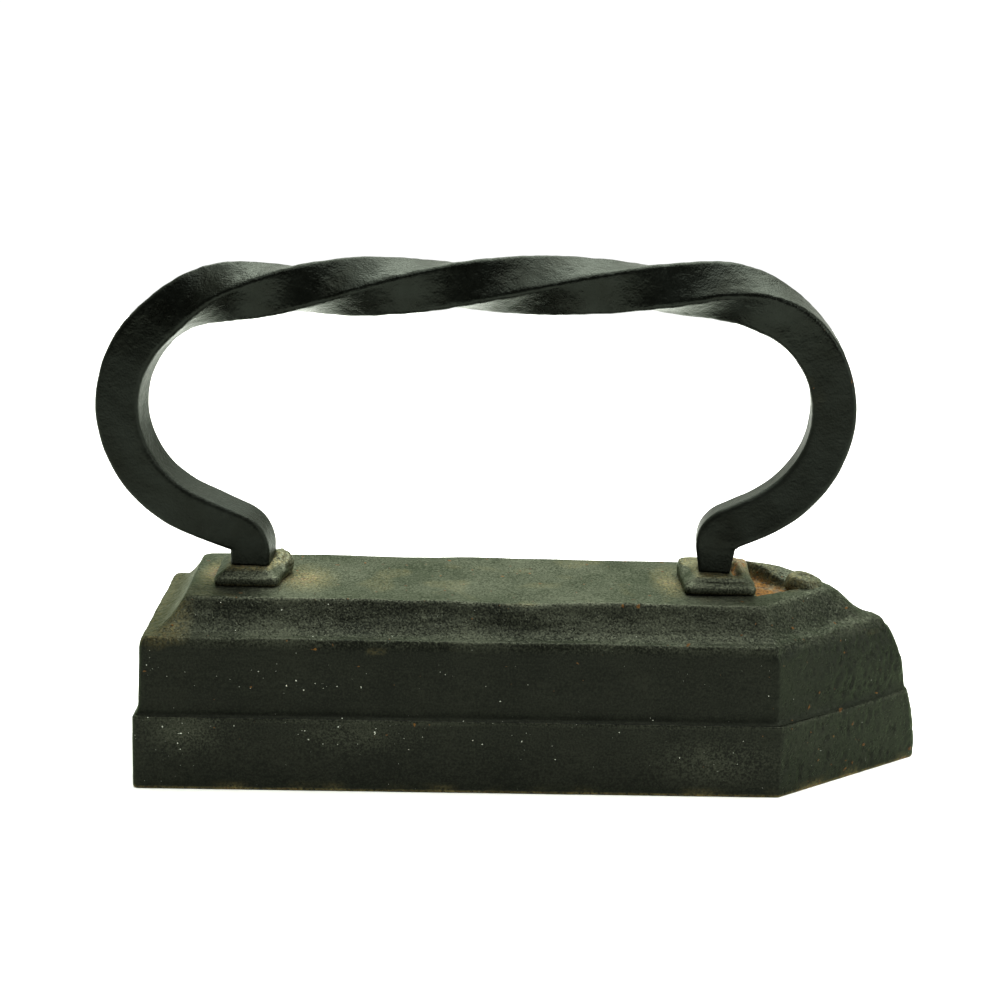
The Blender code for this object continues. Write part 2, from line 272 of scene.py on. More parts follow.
def rounded_outline(corners):
    """A convex plan with rounded corners, anticlockwise, as evenly counted points.

    A corner is its x, y and radius, and the number of points on the straight side after it.
    """
    places = [Vector(corner[:2]) for corner in corners]
    arcs = []
    for i, (_, _, radius, _) in enumerate(corners):
        back = (places[i - 1] - places[i]).normalized()
        ahead = (places[(i + 1) % len(places)] - places[i]).normalized()
        half = back.angle(ahead) / 2
        centre = places[i] + (back + ahead).normalized() * radius / math.sin(half)
        arm = places[i] + back * radius / math.tan(half) - centre
        turn = (math.pi - 2 * half) / (CORNER_POINTS - 1)
        arcs.append([centre + Matrix.Rotation(turn * k, 2) @ arm for k in range(CORNER_POINTS)])
    points = []
    for i, (_, _, _, straight) in enumerate(corners):
        start, end = arcs[i][-1], arcs[(i + 1) % len(arcs)][0]
        points += arcs[i] + [start.lerp(end, (k + 1) / (straight + 1)) for k in range(straight)]
    return np.array([tuple(p) for p in points])


def body_outline(heel, half_width, side_end, nose_tip, nose_radius, corner_radius):
    """The iron's five-cornered plan, from its near heel corner."""
    slope = math.atan2(half_width, nose_tip - side_end)
    nose = nose_tip + nose_radius * (1 / math.sin(slope) - 1)
    return rounded_outline((
        (heel, -half_width, corner_radius, SIDE_POINTS),
        (side_end, -half_width, corner_radius, NOSE_SIDE_POINTS),
        (nose, 0.0, nose_radius, NOSE_SIDE_POINTS),
        (side_end, half_width, corner_radius, SIDE_POINTS),
        (heel, half_width, corner_radius, HEEL_POINTS),
    ))


def level(outline, z):
    """An outline as a ring of points at one height."""
    return np.column_stack([outline, np.full(len(outline), z)])


def to_spine(outline, share, low_x, high_x):
    """Draw an outline in to the middle line of the iron by a share."""
    middle = np.column_stack([np.clip(outline[:, 0], low_x, high_x), np.zeros(len(outline))])
    return outline + (middle - outline) * share


def settle(rings, weight, passes):
    """Soften a stack of rings up and down by a share at each point."""
    for _ in range(passes):
        between = (rings[:-2] + rings[2:]) / 2
        rings[1:-1] += (between - rings[1:-1]) * weight[1:-1, :, None]
    return rings


# ---- materials -------------------------------------------------------------------------

# The Mix node's sockets for colours.
SHARE, FIRST, SECOND = 0, 6, 7
OF_COLOURS = {"output": 2, "data_type": "RGBA"}


def start_material(name):
    """A new material, its shader, the tool that adds nodes to it, and its coordinates."""
    made = bpy.data.materials.new(name)
    made.use_nodes = True
    add = partial(node, made.node_tree)
    return made, made.node_tree.nodes["Principled BSDF"], add, add("TexCoord", output="Object")


def grain(add, where, size, detail=2.0, rough=0.5, stretch=(1, 1, 1)):
    """Noise whose spots are `size` metres across, on coordinates squeezed by `stretch`."""
    squeezed = add("VectorMath", [where, stretch], operation="MULTIPLY")
    pattern = {"Vector": squeezed, "Scale": 1 / size, "Detail": detail, "Roughness": rough}
    return add("TexNoise", pattern, "Fac")


def spots(add, where, size, layer, rare):
    """Small spots that grow more frequent as a painted layer rises; none where it is 0."""
    noise_and_layer = [layer, 0.12, grain(add, where, size, 1.0, 0.4)]
    cover = add("Math", noise_and_layer, operation="MULTIPLY_ADD")
    cover = add("MapRange", [cover, rare, rare + 0.03])
    return add("Math", [cover, add("MapRange", [layer, 0.0, 0.15])], operation="MULTIPLY")


def rust_over(add, where, finish, base):
    """Rust eating through a base colour, in a thin tan stain: new colour, cover and crust."""
    rust = add("Attribute", output="Fac", attribute_name="rust")
    dots = add("Attribute", output="Fac", attribute_name="dots")
    # Rust blisters are a millimetre or two across, and their grains half of that.
    crust = grain(add, where, 1.5 * MM, 4.0, 0.65)
    cover = add("Math", [crust, 0.9, rust], operation="MULTIPLY_ADD")
    cover = add("MapRange", [cover, 0.76, 1.06])
    cover = add("Math", [cover, spots(add, where, 1.7 * MM, dots, 0.80)], operation="MAXIMUM")
    # Thick rust is fresher and yellower than thin rust.
    tone = add("MapRange", [grain(add, where, 0.8 * MM, 3.0, 0.6), 0.36, 0.68])
    tone = add("Math", [tone, add("MapRange", [rust, 0.25, 0.75, 0.3, 1.0])], operation="MULTIPLY")
    rusted = add("Mix", {SHARE: tone, FIRST: finish.old_rust, SECOND: finish.rust}, **OF_COLOURS)
    speckle = add("MapRange", [grain(add, where, 0.7 * MM, 3.0, 0.6), 0.35, 0.65])
    stained = add("MapRange", [rust, 0.10, 0.4, 0.0, 0.75])
    stained = add("Math", [stained, speckle], operation="MULTIPLY")
    base = add("Mix", {SHARE: stained, FIRST: base, SECOND: finish.stain}, **OF_COLOURS)
    return add("Mix", {SHARE: cover, FIRST: base, SECOND: rusted}, **OF_COLOURS), cover, crust


def blackened_cast_iron(name, finish, roughness):
    """Sand-cast iron under stove blacking: near black straight on, a grey-green satin sheen
    at a low angle, with the grain of the sand mould, blow holes, dust, a pale colour painted on as
    light where faces look up, and rust."""
    made, shader, add, where = start_material(name)
    rust, dust, flecks, coarse = (
        add("Attribute", output="Fac", attribute_name=layer)
        for layer in ("rust", "dust", "flecks", "grain")
    )
    cloud = grain(add, where, 14 * MM, 3.0)
    # Moulding sand leaves grains of about half a millimetre.
    sand = grain(add, where, 0.5 * MM, 2.0, 0.6)
    # Drag marks from drawing the pattern out of the sand run along the iron.
    drag = grain(add, where, 0.8 * MM, 2.0, 0.5, (0.10, 1.0, 0.9))
    # Blow holes are about a millimetre across.
    holes = add("MapRange", [grain(add, where, 1.4 * MM, 2.0, 0.45), 0.36, 0.44])
    # Dust lies in the sand grain, more of it in some places; its pale colour is also painted thicker
    # on faces that look up, as painted light.
    dusty = add("Math", [cloud, 0.5, sand], operation="MULTIPLY_ADD")
    dusty = add("Math", [add("MapRange", [dusty, 0.60, 0.95]), dust], operation="MULTIPLY")
    base = add("Mix", {SHARE: dusty, FIRST: finish.cast, SECOND: finish.dust}, **OF_COLOURS)
    base, rusty, crust = rust_over(add, where, finish, base)
    # Flecks of pale paint are under half a millimetre across.
    fleck = spots(add, where, 0.6 * MM, flecks, 0.84)
    base = add("Mix", {SHARE: fleck, FIRST: base, SECOND: finish.paint}, **OF_COLOURS)
    # Rust and paint hide the metal, and dust with its painted light, and stain, half hide it.
    hidden = add("Math", [rusty, fleck], operation="MAXIMUM")
    veiled = add("Math", [dusty, add("MapRange", [rust, 0.12, 0.5, 0.0, 0.5])], operation="ADD")
    hidden = add("Math", [veiled, 0.5, hidden], operation="MULTIPLY_ADD")
    rough = add("Math", [cloud, drag], operation="ADD")
    rough = add("MapRange", [rough, 0.7, 1.3, roughness - 0.06, roughness + 0.08])
    dull = add("Math", [rusty, 0.85], operation="MULTIPLY")
    relief = add("Math", [sand, 0.6], operation="MULTIPLY")
    relief = add("Math", [drag, 0.4, relief], operation="MULTIPLY_ADD")
    blisters = add("Math", [crust, rusty], operation="MULTIPLY")
    pitted = add("Bump", {
        "Height": holes,
        "Strength": add("Math", [coarse, 0.6], operation="MULTIPLY"),
        "Distance": 0.26 * MM,
    })
    normal = add("Bump", {
        "Height": add("Math", [blisters, 1.5, relief], operation="MULTIPLY_ADD"),
        "Strength": add("MapRange", [coarse, 0.0, 1.0, 0.15, 0.8]),
        "Distance": 0.18 * MM,
        "Normal": pitted,
    })
    feed(shader, {
        "Base Color": base,
        "Metallic": add("Math", [1.0, hidden], operation="SUBTRACT", use_clamp=True),
        "Roughness": add("Math", [rough, dull], operation="MAXIMUM"),
        "Specular Tint": finish.sheen,
        "Specular IOR Level": 0.2,
        "Normal": normal,
    })
    return made


def forged_black_iron(name, finish):
    """Wrought bar with black fire scale, oiled by hands: a semi-gloss black with hammer
    marks and a fine orange peel that breaks up its highlights."""
    made, shader, add, where = start_material(name)
    coarse = add("Attribute", output="Fac", attribute_name="grain")
    cloud = grain(add, where, 9 * MM, 3.0)
    # Scale flakes are a millimetre or so across.
    flakes = grain(add, where, 1.2 * MM, 3.0, 0.55)
    peel = grain(add, where, 0.5 * MM, 2.0, 0.5)
    scaled = add("MapRange", [cloud, 0.3, 0.7])
    base = add("Mix", {SHARE: scaled, FIRST: finish.cast, SECOND: finish.forged}, **OF_COLOURS)
    base, rusty, crust = rust_over(add, where, finish, base)
    rough = add("Math", [cloud, flakes], operation="ADD")
    rough = add("MapRange", [rough, 0.75, 1.25, 0.26, 0.36])
    dull = add("Math", [rusty, 0.8], operation="MULTIPLY")
    rough = add("Math", [rough, dull], operation="MAXIMUM")
    relief = add("Math", [flakes, 0.75], operation="MULTIPLY")
    relief = add("Math", [peel, 0.6, relief], operation="MULTIPLY_ADD")
    relief = add("Math", [crust, rusty, relief], operation="MULTIPLY_ADD")
    feed(shader, {
        "Base Color": base,
        "Metallic": add("Math", [1.0, rusty], operation="SUBTRACT"),
        "Roughness": add("Math", [coarse, 0.12, rough], operation="MULTIPLY_ADD"),
        "Specular Tint": finish.forged_sheen,
        "Specular IOR Level": 0.2,
        "Normal": add("Bump", {"Height": relief, "Strength": 0.8, "Distance": 0.26 * MM}),
    })
    return made


def turned_mild_steel(name, finish):
    """Plain turned steel of the hidden fixings: grey, with fine tool rings and a dull gloss."""
    made, shader, add, where = start_material(name)
    # The tool leaves a ring every fifth of a millimetre along the pin.
    rings = grain(add, where, 2.4 * MM, 2.0, 0.5, (1, 1, 12))
    stain = add("MapRange", [grain(add, where, 3 * MM, 3.0), 0.45, 0.7, 0.0, 0.6])
    stained = {SHARE: stain, FIRST: finish.steel, SECOND: finish.old_rust}
    feed(shader, {
        "Base Color": add("Mix", stained, **OF_COLOURS),
        "Metallic": 1.0,
        "Roughness": add("MapRange", [rings, 0.3, 0.7, 0.28, 0.45]),
        "Normal": add("Bump", {"Height": rings, "Strength": 0.4, "Distance": 0.05 * MM}),
    })
    return made


def white_paper(name, stage):
    """Matt white paper sweep: soft, with only a trace of fibre."""
    made, shader, add, where = start_material(name)
    fibre = grain(add, where, 2 * MM, 2.0)
    greyer = [v * 0.98 for v in stage.floor]
    feed(shader, {
        "Base Color": add("Mix", {SHARE: fibre, FIRST: stage.floor, SECOND: greyer}, **OF_COLOURS),
        "Roughness": 0.9,
        "Specular IOR Level": 0.1,
    })
    return made


# ---- pieces ----------------------------------------------------------------------------


class SADIRON_OT_sole_plate(bpy.types.Operator):
    """Make the cast sole plate"""

    bl_idname = "sad_iron.sole_plate"
    bl_label = "Sole plate"

    # How far each face stands back at the top.
    nose_lean, side_lean, heel_lean = 3.1 * MM, 0.4 * MM, 0.3 * MM
    nose_curve = 2.1
    nose_radius, corner_radius, edge_radius = 3.0 * MM, 1.4 * MM, 0.5 * MM
    spine = (-70 * MM, 60 * MM)

    def ring(self, sizes, z, inset):
        """The outline at a height, drawn in by an inset."""
        share = z / sole_high.z
        outline = body_outline(
            sole_low.x - sizes.heel_swell + self.heel_lean * share + inset,
            sole_high.y - self.side_lean * share - inset,
            sizes.side_end,
            sole_high.x - self.nose_lean * share**self.nose_curve - inset,
            self.nose_radius,
            self.corner_radius,
        )
        return level(outline, z)

    def across(self, ring, shares):
        """Rings that close a flat face, from its edge's outline to the middle line."""
        return [level(to_spine(ring[:, :2], share, *self.spine), ring[0, 2]) for share in shares]

    def make_mesh(self, sizes):
        top, radius = sole_high.z, self.edge_radius
        # The bottom edge is worn to a very small round.
        worn = ((0.0, 0.4 * MM), (0.1 * MM, 0.15 * MM), (0.4 * MM, 0.04 * MM))
        edge = [self.ring(sizes, z, inset) for z, inset in worn]
        rings = self.across(edge[0], (1.0, 0.85, 0.6, 0.35, 0.15, 0.05)) + edge
        rings += [self.ring(sizes, z, 0.0) for z in np.linspace(1.0 * MM, top - radius, 26)]
        for turn in np.radians((15, 30, 45, 60, 75, 90)):
            drop, inset = radius * (1 - math.sin(turn)), radius * (1 - math.cos(turn))
            rings.append(self.ring(sizes, top - drop, inset))
        return skin(rings + self.across(rings[-1], (0.05, 0.1, 0.2, 0.5, 1.0)))

    def execute(self, context):
        sizes = context.scene.sad_iron_body
        top = sole_high.z
        mesh = self.make_mesh(sizes)
        points, normals = read(mesh)
        x, _, z = points.T.copy()
        on_nose = ramp(x, 55 * MM, 62 * MM)
        shift = bumps(points, 16 * MM, 1) * sizes.unevenness
        shift += bumps(points, 3.2 * MM, 2) * 0.04 * MM * (1 + 2 * on_nose)
        holes = ramp(bumps(points, mm(1.4, 1.4, 2.0), 4), 0.2, 0.55)
        shift -= holes * 0.22 * MM * on_nose
        points += normals * (shift * ramp(z, 0.2 * MM, 3 * MM))[:, None]
        points[:, 2] = np.minimum(points[:, 2], top)
        move_points(mesh, points)
        low_band = ramp(-z, -3 * MM, 0)
        foot_line = ramp(-z, -0.9 * MM, -0.2 * MM)
        patchy = ramp(bumps(points, 9 * MM, 3), 0.0, 0.6)
        # Rust spots sit in a band low on the near side of the nose.
        spotted = mound(points, mm(75, -18, 9), mm(14, 14, 6))
        # The near side is scuffed by the heel, near it and below the front foot.
        scuffed = mound(points, mm(-87, -29, 15), mm(8, 8, 4))
        scuffed += 0.7 * mound(points, mm(-46, -29, 15), mm(11, 8, 4))
        scuffed += 0.8 * mound(points, mm(44, -29, 9), mm(13, 8, 5))
        # Along the top ledge more dust and pale flecks are painted: dust and wear, and a painted
        # highlight on the ledge's rounded edge.
        on_ledge = ramp(z, top - 1.3 * MM, top - 0.3 * MM)
        near_heel = ramp(-x, -10 * MM, 85 * MM)
        paint(
            mesh,
            dots=0.15 + 0.2 * on_nose + 0.6 * spotted + 0.25 * low_band,
            rust=0.10 + 0.16 * low_band * patchy + 0.22 * foot_line,
            flecks=0.3 + 0.15 * near_heel + 0.5 * scuffed + 0.2 * on_ledge,
            dust=0.05 + 0.16 * scuffed + 0.08 * on_ledge,
            grain=0.25 + 0.6 * on_nose + 0.3 * scuffed + 0.2 * on_ledge,
        )
        iron = blackened_cast_iron("blackened_sole_iron", context.scene.sad_iron_finish, 0.50)
        piece("cast_sole_plate", mesh, iron, "sole_iron", "sole_plate")
        return {"FINISHED"}


class SADIRON_OT_upper_body(bpy.types.Operator):
    """Make the cast upper body with its shoulder, cove, top face and hollow"""

    bl_idname = "sad_iron.upper_body"
    bl_label = "Upper body"

    spine = (-74 * MM, 57 * MM)
    foot = sole_high.z + 0.02 * MM  # it sits down on the sole plate
    top = body_high.z
    fillet_height = 0.7 * MM
    # The share of the cove's width and of its height that its rounded lip takes.
    lip_width, lip_height = 0.1, 0.21
    cove_curve = 2.1
    hollow = mm((53.4, -9.6), (67.0, -2.6), (53.4, 14.0))

    def plans(self, sizes):
        """The outlines at the foot, at the shoulder and round the top face."""
        heel, half, tip = body_low.x - 1.6 * sizes.heel_swell, body_high.y, body_high.x
        side_end, lean = sizes.side_end - 1.0 * MM, sizes.shoulder_inset
        inset, nose = lean + sizes.cove_inset, tip - sizes.nose_lean
        lower = body_outline(heel, half, side_end, tip, 2.5 * MM, 1.6 * MM)
        upper = body_outline(heel + lean, half - lean, side_end - 0.6 * MM, nose, 2.8 * MM, 1.7 * MM)
        face = body_outline(
            heel + inset + 1.1 * MM, half - inset, side_end - 3.5 * MM,
            nose - sizes.cove_nose, 4.5 * MM, 2.2 * MM,
        )
        return lower, upper, face

    def make_mesh(self, sizes):
        lower, upper, face = self.plans(sizes)
        foot, top, shoulder = self.foot, self.top, sizes.shoulder_height
        rings = [level(to_spine(lower, share, *self.spine), foot) for share in (1.0, 0.5, 0.1)]
        sides = len(rings)
        # A small fillet at the foot is wider along the nose and gone at its tip.
        x = lower[:, 0]
        fillet = 0.95 + 0.35 * ramp(x, 62 * MM, 80 * MM) - 0.85 * ramp(x, 84 * MM, 95 * MM)
        for share in (0.0, 0.003, 0.02, 0.04, 0.07, 0.1, *np.linspace(0.14, 1.0, 26)):
            z = foot + (shoulder - foot) * share
            line = lower + (upper - lower) * share
            away = line - np.column_stack([np.clip(line[:, 0], *self.spine), np.zeros(len(line))])
            away /= np.linalg.norm(away, axis=1)[:, None]
            out = math.exp(-(z - foot) / self.fillet_height) * fillet * MM
            on_nose = ramp(line[:, 0], 60 * MM, 80 * MM)
            out += sizes.nose_belly * math.sin(math.pi * share) * on_nose
            rings.append(level(line + away * out[:, None], z))
        cove = len(rings)
        for share in (0.025, 0.05, 0.075, 0.1, *np.linspace(0.135, 1.0, 25)):
            if share <= self.lip_width:
                rise = self.lip_height * math.sin(math.pi / 2 * share / self.lip_width)
            else:
                beyond = (share - self.lip_width) / (1 - self.lip_width)
                rise = self.lip_height + (1 - self.lip_height) * beyond**self.cove_curve
            rings.append(level(upper + (face - upper) * share, shoulder + (top - shoulder) * rise))
        plateau = len(rings)
        for share in (0.02, 0.04, *np.linspace(0.07, 1.0, 34)):
            rings.append(level(to_spine(face, share, *self.spine), top))
        return skin(self.wear(np.array(rings), sides, cove, plateau))

    def wear(self, rings, sides, cove, plateau):
        """Leave the edges crisp along the sides, and wear them soft round the nose."""
        x = rings[:, :, 0]
        stack = np.arange(len(rings))[:, None] * np.ones_like(x)
        wide = np.exp(-(((stack - cove) / 6.0) ** 2)) + np.exp(-(((stack - plateau) / 5.0) ** 2))
        weight = np.clip(ramp(x, 52 * MM, 60 * MM) * wide, 0, 1) * 0.5
        weight[:sides] = 0
        rings = settle(rings, weight, 26)
        gentle = np.where((stack > cove - 3) & (stack < plateau + 4), 0.25, 0.0)
        return settle(rings, gentle, 3)

    def inside_hollow(self, x, y, points):
        """1 in the three-cornered hollow, 0 outside its ragged rim."""
        inside = np.full(len(points), 1.0)
        for start, end in zip(self.hollow, np.roll(self.hollow, -1, axis=0)):
            along = (end - start) / np.linalg.norm(end - start)
            off = along[0] * (y - start[1]) - along[1] * (x - start[0])
            inside = np.minimum(inside, off)
        ragged = bumps(points, 2.4 * MM, 16) * 0.5 * MM
        return ramp(inside + ragged, -0.3 * MM, 1.1 * MM)

    def execute(self, context):
        sizes = context.scene.sad_iron_body
        top, shoulder = self.top, sizes.shoulder_height
        mesh = self.make_mesh(sizes)
        points, normals = read(mesh)
        x, y, z = points.T.copy()
        on_top = ramp(z, top - 1.2 * MM, top - 0.2 * MM)
        on_cove = ramp(z, shoulder - 1 * MM, shoulder + 2 * MM) * (1 - on_top)
        on_nose = ramp(x, 54 * MM, 60 * MM)
        shift = bumps(points, 17 * MM, 11) * sizes.unevenness
        shift += bumps(points, 3.5 * MM, 12) * 0.05 * MM * (1 + 2 * on_nose)
        pitted = ramp(x, 60 * MM, 80 * MM) * (1 - on_top)
        shift -= ramp(bumps(points, mm(1.3, 1.3, 1.5), 19), 0.08, 0.45) * 0.26 * MM * pitted
        shift += bumps(points, mm(6, 1.6, 1.6), 13) * 0.16 * MM * on_cove
        above_foot = ramp(z, self.foot + 0.3 * MM, self.foot + 2 * MM)
        points += normals * (shift * above_foot)[:, None]
        # The near edge of the top face swells outward over a short length.
        swell = mound(points, mm(-6, -18.5, 44), mm(9, 3.4, 4))
        points[:, 1] -= 1.3 * MM * swell
        points[:, 2] -= 0.25 * MM * swell
        # The top face is uneven, and a little higher along its far edge.
        points[:, 2] += on_top * bumps(points, 13 * MM, 14) * 0.22 * MM
        points[:, 2] += on_top * ramp(y, 4 * MM, 17 * MM) * 0.45 * MM
        # The shoulder is chipped at the near corner of the nose.
        chip = mound(points, mm(59.5, -26, 36.6), mm(2.6, 1.8, 1.3))
        points -= normals * (0.9 * MM * chip)[:, None]
        sunk = self.inside_hollow(x, y, points) * on_top
        deeper = 0.75 + 0.5 * ramp(y + (x - 55 * MM) * 1.2, -6 * MM, 6 * MM)
        floor = sizes.hollow_depth * deeper + bumps(points, 1.7 * MM, 17) * 0.35 * MM
        points[:, 2] -= sunk * floor
        # Beyond the hollow a soft ridge of the casting joins the front collar and the stud.
        across = (y - 11.5 * MM) + (x - 55 * MM) * 0.45
        ridge = np.exp(-((across / (3.6 * MM)) ** 2))
        ridge *= ramp(x, 46 * MM, 52 * MM) * ramp(-x, -74 * MM, -62 * MM) * on_top
        points[:, 2] += 2.3 * MM * ridge * (1 - 0.8 * sunk)
        seat = mound(points, (*mm(68, 1), top), mm(6.5, 6.5, 4))
        points[:, 2] += 0.35 * MM * seat * (1 - 0.8 * sunk)
        # The nose's cove is filled out in front of the stud.
        fill = mound(points, mm(77, 1, 43), mm(8, 10, 5))
        points += normals * (1.1 * MM * fill)[:, None]
        move_points(mesh, points)
        self.paint_layers(mesh, points, shoulder, on_top, on_cove, on_nose, sunk)
        iron = blackened_cast_iron("blackened_cast_iron", context.scene.sad_iron_finish, 0.52)
        piece("cast_upper_body", mesh, iron, "body_iron", "upper_body")
        return {"FINISHED"}

    def paint_layers(self, mesh, points, shoulder, on_top, on_cove, on_nose, sunk):
        x, y, z = points.T
        top = self.top
        # The rust is darker and thinner under the hollow's far wall: dark old rust, and painted shade
        # of the wall.
        shaded = ramp(y + (x - 53 * MM) * 0.8, 0, 7 * MM)
        rust = 0.08 + (0.75 - 0.33 * shaded) * sunk
        # It stains the top face on both sides of each foot, and the heel's cove.
        behind_rear = mound(points, (*mm(-83.5, 1), top), mm(3.0, 7.5, 4))
        before_rear = mound(points, (*mm(-60, -2), top), mm(6, 8, 4))
        behind_front = mound(points, (*mm(33, -2), top), mm(4, 8, 4))
        rust += on_top * (0.36 * behind_rear + 0.26 * before_rear + 0.20 * behind_front)
        rust += ramp(-x, 84 * MM, 90 * MM) * on_cove * 0.12
        rust += 0.045 * ramp(bumps(points, 5 * MM, 18), 0.2, 0.7) * on_top
        under_shoulder = ramp(z, shoulder - 2.2 * MM, shoulder - 0.6 * MM) * (1 - on_cove)
        rust += 0.07 * under_shoulder * ramp(bumps(points, 9 * MM, 20), 0.1, 0.5)
        near_heel = ramp(-x, -10 * MM, 85 * MM)
        scuffed = mound(points, mm(-58, -27, 27.5), mm(14, 8, 1.6))
        scuffed += mound(points, mm(-96, -27, 31), mm(2, 8, 3))
        paint(
            mesh,
            rust=rust,
            dots=0.15 + 0.35 * on_nose * (1 - on_top) + 0.35 * on_top,
            flecks=(1 - on_top) * (0.26 + 0.15 * near_heel + 0.6 * scuffed),
            # The dust colour is painted thicker on the top face and the cove: dust, and painted light
            # on the faces that look up.
            dust=0.04 + 0.26 * on_top + 0.18 * on_cove + 0.2 * before_rear,
            grain=0.22 + 0.45 * on_top + 0.78 * on_cove + 0.6 * on_nose * (1 - on_top),
        )


class SADIRON_OT_handle(bpy.types.Operator):
    """Make the forged handle: one square bar, curled at both ends and twisted along the grip"""

    bl_idname = "sad_iron.handle"
    bl_label = "Handle"

    # Centre x and z of each curl, and its radii along x and z.
    rear_curl = (-74.5 * MM, 90.0 * MM, 31.0 * MM, 29.1 * MM)
    front_curl = (37.7 * MM, 91.5 * MM, 33.9 * MM, 30.4 * MM)
    rear_end, front_end = math.radians(246), math.radians(-63.5)
    rear_foot, front_foot = -73.5 * MM, 44.1 * MM
    # Each foot is drawn down thinner: its share of the bar, and over what length.
    rear_thin, front_thin = (0.9, 22 * MM), (0.73, 9 * MM)
    bend_radius = 5.6 * MM
    step = 0.6 * MM
    # Lengths along the bar where the twist starts and ends, and how softly.
    twist_start, twist_end, ease = 84.6 * MM, 238.1 * MM, 6.0 * MM

    def arc(self, curl, start, end):
        """Points round part of a curl."""
        x, z, radius_x, radius_z = curl
        steps = max(2, math.ceil(abs(end - start) * radius_x / self.step))
        turns = [start + (end - start) * i / steps for i in range(steps + 1)]
        return [Vector((x + radius_x * math.cos(a), z + radius_z * math.sin(a))) for a in turns]

    def line(self, start, end):
        """Points along a straight."""
        steps = max(1, math.ceil((end - start).length / self.step))
        return [start.lerp(end, i / steps) for i in range(steps + 1)]

    def foot(self, curl, curl_end, turning, foot_x, bottom):
        """From the foot's bottom up, round the bend and on to the end of the curl."""
        x, z, radius_x, radius_z = curl
        end = Vector((x + radius_x * math.cos(curl_end), z + radius_z * math.sin(curl_end)))
        heading = Vector((-radius_x * math.sin(curl_end), radius_z * math.cos(curl_end))) * turning
        heading.normalize()
        radius = self.bend_radius
        corner = end + heading * (foot_x - end.x) / heading.x
        turn = heading.angle(Vector((0.0, -1.0)))
        below = corner - Vector((0.0, radius * math.tan(turn / 2)))
        side = -1.0 if heading.x > 0 else 1.0
        first = math.pi if side > 0 else 0.0
        circle = (below.x + side * radius, below.y, radius, radius)
        bend = self.arc(circle, first, first - side * turn)
        upright = self.line(Vector((foot_x, bottom)), below)
        return upright[:-1] + bend + self.line(bend[-1], end)[1:-1]

    def route(self, bottom, arch):
        """The bar's centre line from the rear foot to the front foot, as (x, z) points."""
        rear_top = Vector((self.rear_curl[0], self.rear_curl[1] + self.rear_curl[3]))
        front_top = Vector((self.front_curl[0], self.front_curl[1] + self.front_curl[3]))
        rise = front_top - rear_top
        crown = math.pi / 2 + math.atan2(rise.y, rise.x)
        rear = self.foot(self.rear_curl, self.rear_end, 1, self.rear_foot, bottom)
        rear += self.arc(self.rear_curl, self.rear_end, crown)
        front = self.arc(self.front_curl, crown, self.front_end)
        front += self.foot(self.front_curl, self.front_end, -1, self.front_foot, bottom)[::-1]
        grip = self.line(rear[-1], front[0])
        for i, spot in enumerate(grip):
            share = i / (len(grip) - 1)
            spot.y += arch * 4 * share * (1 - share)
        return rear + grip[1:-1] + front

    def turn_at(self, run, sizes):
        """Turn of the bar at each length from the rear foot: it is tighter towards the rear."""
        length = self.twist_end - self.twist_start
        total = 0.0
        for shift in np.linspace(-self.ease, self.ease, 5):
            share = np.clip((run + shift - self.twist_start) / length, 0, 1)
            uneven = 0.27 + 0.28 * (1 - 2 * share)
            total = total + share + uneven * share * (1 - share)
        return sizes.skew + sizes.twist * total / 5

    def execute(self, context):
        sizes = context.scene.sad_iron_handle
        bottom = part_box("rear_collar")[1].z + 0.05 * MM
        route = self.route(bottom, sizes.arch)
        steps = [(b - a).length for a, b in zip(route, route[1:])]
        run = np.concatenate([[0], np.cumsum(steps)])
        turn = self.turn_at(run, sizes)
        square = self.section(sizes.edge / sizes.bar)
        circle = square / np.linalg.norm(square, axis=1)[:, None]
        rings = [self.tenon_ring(circle, self.rear_foot, 1, *spot) for spot in self.tenon()]
        for i, here in enumerate(route):
            ahead = route[min(i + 1, len(route) - 1)] - route[max(i - 1, 0)]
            if i in (0, len(route) - 1):
                ahead = Vector((0.0, 1.0 if i == 0 else -1.0))
            heading = Vector((ahead.x, 0.0, ahead.y)).normalized()
            across = Matrix.Rotation(-turn[i], 3, heading) @ Vector((0.0, 1.0, 0.0))
            up = heading.cross(across)
            from_foot = min(run[i], run[-1] - run[i])
            thin, reach = self.rear_thin if run[i] < run[-1] / 2 else self.front_thin
            side = sizes.bar * (thin + (1 - thin) * min(1.0, from_foot / reach))
            centre = np.array((here.x, 0.0, here.y))
            ring = np.outer(square[:, 0], across) + np.outer(square[:, 1], up)
            rings.append(centre + ring * side)
        # The front tenon is reached from above, so its circle turns the other way.
        rings += [self.tenon_ring(circle, self.front_foot, -1, *spot) for spot in self.tenon()][::-1]
        mesh = skin(rings)
        points, normals = read(mesh)
        z = points[:, 2].copy()
        grip = ramp(z, 100 * MM, 112 * MM)
        shift = bumps(points, 12 * MM, 21) * 0.10 * MM
        shift += bumps(points, 3.6 * MM, 22) * sizes.hammering * (1 + 0.6 * grip)
        shift += bumps(points, 1.8 * MM, 23) * 0.08 * MM * (0.2 + grip)
        above_foot = ramp(z, bottom + 0.2 * MM, bottom + 2.5 * MM)
        points += normals * (shift * above_foot)[:, None]
        move_points(mesh, points)
        base = ramp(-z, -bottom - 3.0 * MM, -bottom - 0.3 * MM)
        # The front curl is the rustiest part of the bar.
        curl = mound(points, mm(67, 0, 96), mm(8, 12, 13))
        patchy = ramp(bumps(points, 8 * MM, 24), 0.2, 0.7)
        rust = 0.03 + 0.05 * base + 0.09 * curl + 0.05 * patchy
        paint(mesh, rust=rust, dots=0.6 * curl, grain=1 - grip)
        iron = forged_black_iron("forged_black_iron", context.scene.sad_iron_finish)
        piece("forged_handle", mesh, iron, "forged_iron", "handle_bar")
        return {"FINISHED"}

